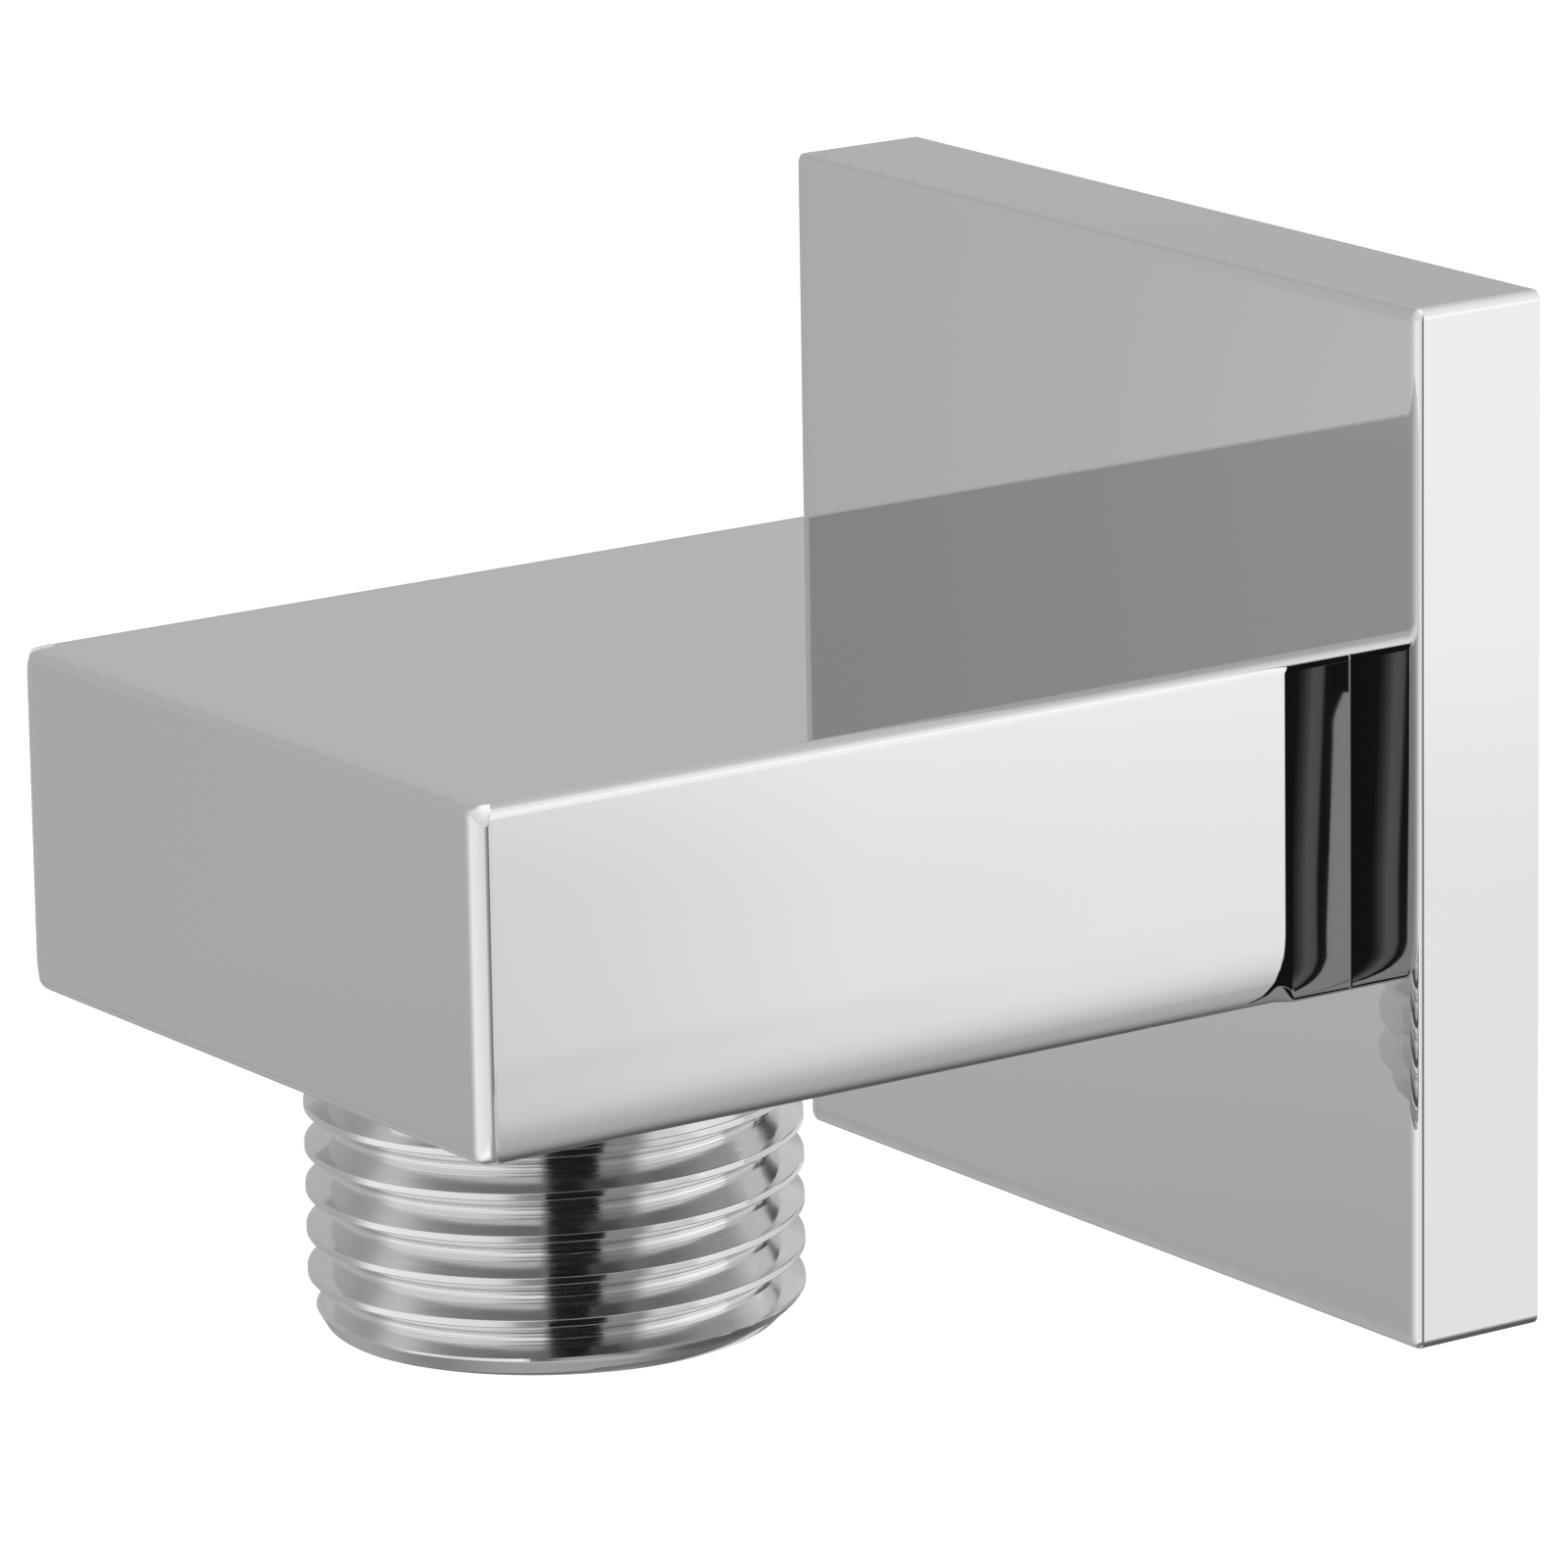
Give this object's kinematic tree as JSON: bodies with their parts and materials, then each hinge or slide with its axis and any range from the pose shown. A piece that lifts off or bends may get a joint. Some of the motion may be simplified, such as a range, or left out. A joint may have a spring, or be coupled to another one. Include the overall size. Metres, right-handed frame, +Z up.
{
  "type": "wall outlet elbow",
  "caption": "Square wall outlet elbow for a shower hose: a square wall plate, a flat rectangular arm and a male threaded outlet pointing down under its front.",
  "frame": {"origin": "centre of the inlet's mouth, in the plane of the wall", "axes": "+Y into the wall along the inlet's axis, +Z up, +X along the plate's width; the arm stands out along -Y and the threaded outlet points along -Z"},
  "size_m": [0.0446, 0.0497, 0.0446],
  "materials": {
    "outlet_body": "polished",
    "wall_plate": "polished"
  },
  "bodies": {
    "root": {"outlet_body": "outlet_body", "wall_plate": "wall_plate"}
  },
  "joints": []
}
